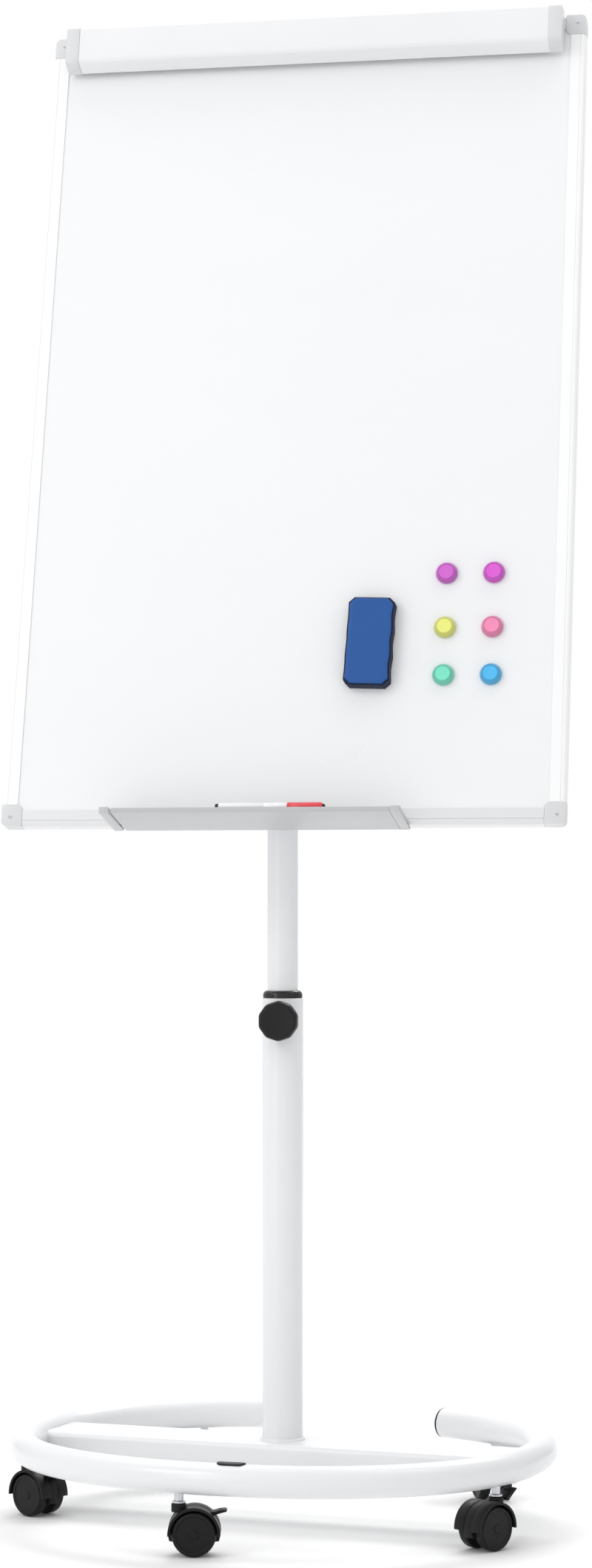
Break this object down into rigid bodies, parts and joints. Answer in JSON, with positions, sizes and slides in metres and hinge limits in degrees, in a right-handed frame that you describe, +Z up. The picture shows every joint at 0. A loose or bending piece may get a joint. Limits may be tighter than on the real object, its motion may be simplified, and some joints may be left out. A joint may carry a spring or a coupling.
{
  "type": "mobile flip chart easel",
  "caption": "Mobile flip chart easel: a framed whiteboard with paper clamp, pen tray, magnets and eraser tilts on a height-adjustable mast over a ring base on casters.",
  "frame": {"origin": "on the floor under the centre of the bounding box", "axes": "+Z up, +X along the cross beam to the right of someone facing the board, -Y towards that person"},
  "size_m": [0.7372, 0.5698, 1.905],
  "materials": {
    "white_paint": "satin",
    "whiteboard": "gloss",
    "aluminium": "satin",
    "grey_plastic": "satin",
    "black_plastic": "satin",
    "steel": "satin",
    "fibreboard": "matte",
    "blue_plastic": "satin",
    "felt": "matte",
    "red_plastic": "gloss",
    "white_plastic": "gloss",
    "magnet_violet": "satin",
    "magnet_magenta": "satin",
    "magnet_yellow": "satin",
    "magnet_pink": "satin",
    "magnet_mint": "satin",
    "magnet_blue": "satin"
  },
  "bodies": {
    "base": {"base_ring": "white_paint", "ring_cap_right": "black_plastic", "ring_cap_left": "black_plastic", "ring_plug": "black_plastic", "cross_beam": "white_paint", "lower_tube": "white_paint", "mast_collar": "black_plastic", "mast_bolt": "steel", "caster_stem_front": "steel", "caster_stem_right": "steel", "caster_stem_left": "steel", "caster_stem_rear_right": "steel", "caster_stem_rear_left": "steel"},
    "height_knob": {"height_knob": "black_plastic"},
    "mast_slide": {"slide_bush": "black_plastic"},
    "mast": {"upper_tube": "white_paint", "tilt_head": "black_plastic"},
    "board": {"tilt_bracket": "steel", "rail_left": "aluminium", "rail_right": "aluminium", "rail_bottom": "aluminium", "rail_top": "aluminium", "writing_sheet": "whiteboard", "board_core": "fibreboard", "corner_bottom_left": "grey_plastic", "corner_bottom_right": "grey_plastic", "corner_top_left": "grey_plastic", "corner_top_right": "grey_plastic", "back_rail": "aluminium", "clamp_rail": "aluminium", "tray": "aluminium", "tray_cap_left": "grey_plastic", "tray_cap_right": "grey_plastic"},
    "tilt_knob": {"tilt_knob": "black_plastic"},
    "clamp": {"clamp_bar": "white_paint", "clamp_cap_left": "grey_plastic", "clamp_cap_right": "grey_plastic"},
    "eraser": {"eraser_shell": "blue_plastic", "eraser_felt": "felt"},
    "marker": {"marker_barrel": "white_plastic"},
    "marker_cap": {"marker_cap": "red_plastic"},
    "magnet_1": {"magnet_1": "magnet_violet"},
    "magnet_2": {"magnet_2": "magnet_magenta"},
    "magnet_3": {"magnet_3": "magnet_yellow"},
    "magnet_4": {"magnet_4": "magnet_pink"},
    "magnet_5": {"magnet_5": "magnet_mint"},
    "magnet_6": {"magnet_6": "magnet_blue"},
    "caster_front": {"caster_housing_front": "black_plastic"},
    "wheels_front": {"caster_wheels_front": "black_plastic"},
    "pedal_front": {"brake_pedal_front": "black_plastic"},
    "caster_right": {"caster_housing_right": "black_plastic"},
    "wheels_right": {"caster_wheels_right": "black_plastic"},
    "pedal_right": {"brake_pedal_right": "black_plastic"},
    "caster_left": {"caster_housing_left": "black_plastic"},
    "wheels_left": {"caster_wheels_left": "black_plastic"},
    "pedal_left": {"brake_pedal_left": "black_plastic"},
    "caster_rear_right": {"caster_housing_rear_right": "black_plastic"},
    "wheels_rear_right": {"caster_wheels_rear_right": "black_plastic"},
    "caster_rear_left": {"caster_housing_rear_left": "black_plastic"},
    "wheels_rear_left": {"caster_wheels_rear_left": "black_plastic"}
  },
  "joints": [
    {"name": "mast_height", "type": "slide", "parent": "base", "child": "mast_slide", "axis": [0, 0, 1], "range_m": [-0.18, 0.05]},
    {"name": "mast_turn", "type": "hinge", "parent": "mast_slide", "child": "mast", "pos_m": [-0.01009, 0.01086, 0.496], "axis": [0, 0, 1], "continuous": true},
    {"name": "board_tilt", "type": "hinge", "parent": "mast", "child": "board", "pos_m": [-0.01009, 0.01086, 1.041], "axis": [-0.9848, -0.1736, 0], "range_deg": [-14, 76]},
    {"name": "tilt_knob_turn", "type": "hinge", "parent": "board", "child": "tilt_knob", "pos_m": [-0.01009, 0.01086, 1.041], "axis": [0.9848, 0.1736, 0], "range_deg": [0, 720]},
    {"name": "height_knob_turn", "type": "hinge", "parent": "base", "child": "height_knob", "pos_m": [-0.01009, 0.01086, 0.616], "axis": [0.2504, -0.9681, 0], "range_deg": [0, 720]},
    {"name": "clamp_open", "type": "hinge", "parent": "board", "child": "clamp", "pos_m": [-0.01917, 0.15451, 1.89166], "axis": [-0.9848, -0.1736, 0], "range_deg": [0, 40], "stiffness_Nm_per_rad": 0.8, "springref_deg": -45.84},
    {"name": "eraser_lift", "type": "slide", "parent": "board", "child": "eraser", "axis": [0.1685, -0.9556, 0.2419], "range_m": [0, 0.06]},
    {"name": "marker_lift", "type": "slide", "parent": "board", "child": "marker", "axis": [-0.042, 0.2382, 0.9703], "range_m": [0, 0.06]},
    {"name": "marker_cap_pull", "type": "slide", "parent": "marker", "child": "marker_cap", "axis": [0.9848, 0.1736, 0], "range_m": [0, 0.04]},
    {"name": "magnet_1_lift", "type": "slide", "parent": "board", "child": "magnet_1", "axis": [0.1685, -0.9556, 0.2419], "range_m": [0, 0.05]},
    {"name": "magnet_2_lift", "type": "slide", "parent": "board", "child": "magnet_2", "axis": [0.1685, -0.9556, 0.2419], "range_m": [0, 0.05]},
    {"name": "magnet_3_lift", "type": "slide", "parent": "board", "child": "magnet_3", "axis": [0.1685, -0.9556, 0.2419], "range_m": [0, 0.05]},
    {"name": "magnet_4_lift", "type": "slide", "parent": "board", "child": "magnet_4", "axis": [0.1685, -0.9556, 0.2419], "range_m": [0, 0.05]},
    {"name": "magnet_5_lift", "type": "slide", "parent": "board", "child": "magnet_5", "axis": [0.1685, -0.9556, 0.2419], "range_m": [0, 0.05]},
    {"name": "magnet_6_lift", "type": "slide", "parent": "board", "child": "magnet_6", "axis": [0.1685, -0.9556, 0.2419], "range_m": [0, 0.05]},
    {"name": "swivel_front", "type": "hinge", "parent": "base", "child": "caster_front", "pos_m": [-0.03506, -0.26017, 0.06], "axis": [0, 0, 1], "continuous": true},
    {"name": "roll_front", "type": "hinge", "parent": "caster_front", "child": "wheels_front", "pos_m": [-0.01826, -0.25372, 0.026], "axis": [-0.3584, 0.9336, 0], "continuous": true},
    {"name": "brake_front", "type": "hinge", "parent": "caster_front", "child": "pedal_front", "pos_m": [0.00097, -0.24634, 0.0484], "axis": [-0.3584, 0.9336, 0], "range_deg": [0, 16]},
    {"name": "swivel_right", "type": "hinge", "parent": "base", "child": "caster_right", "pos_m": [0.29653, -0.08203, 0.06], "axis": [0, 0, 1], "continuous": true},
    {"name": "roll_right", "type": "hinge", "parent": "caster_right", "child": "wheels_right", "pos_m": [0.28864, -0.09821, 0.026], "axis": [0.8988, -0.4384, 0], "continuous": true},
    {"name": "brake_right", "type": "hinge", "parent": "caster_right", "child": "pedal_right", "pos_m": [0.30197, -0.07089, 0.057], "axis": [-0.8988, 0.4384, 0], "range_deg": [0, 16]},
    {"name": "swivel_left", "type": "hinge", "parent": "base", "child": "caster_left", "pos_m": [-0.32237, -0.06342, 0.06], "axis": [0, 0, 1], "continuous": true},
    {"name": "roll_left", "type": "hinge", "parent": "caster_left", "child": "wheels_left", "pos_m": [-0.30568, -0.07017, 0.026], "axis": [0.3746, 0.9272, 0], "continuous": true},
    {"name": "brake_left", "type": "hinge", "parent": "caster_left", "child": "pedal_left", "pos_m": [-0.28658, -0.07788, 0.0484], "axis": [0.3746, 0.9272, 0], "range_deg": [0, 16]},
    {"name": "swivel_rear_right", "type": "hinge", "parent": "base", "child": "caster_rear_right", "pos_m": [0.19603, 0.22928, 0.06], "axis": [0, 0, 1], "continuous": true},
    {"name": "roll_rear_right", "type": "hinge", "parent": "caster_rear_right", "child": "wheels_rear_right", "pos_m": [0.18571, 0.24402, 0.026], "axis": [-0.8192, -0.5736, 0], "continuous": true},
    {"name": "swivel_rear_left", "type": "hinge", "parent": "base", "child": "caster_rear_left", "pos_m": [-0.20767, 0.23459, 0.06], "axis": [0, 0, 1], "continuous": true},
    {"name": "roll_rear_left", "type": "hinge", "parent": "caster_rear_left", "child": "wheels_rear_left", "pos_m": [-0.22326, 0.24359, 0.026], "axis": [-0.5, -0.866, 0], "continuous": true}
  ]
}
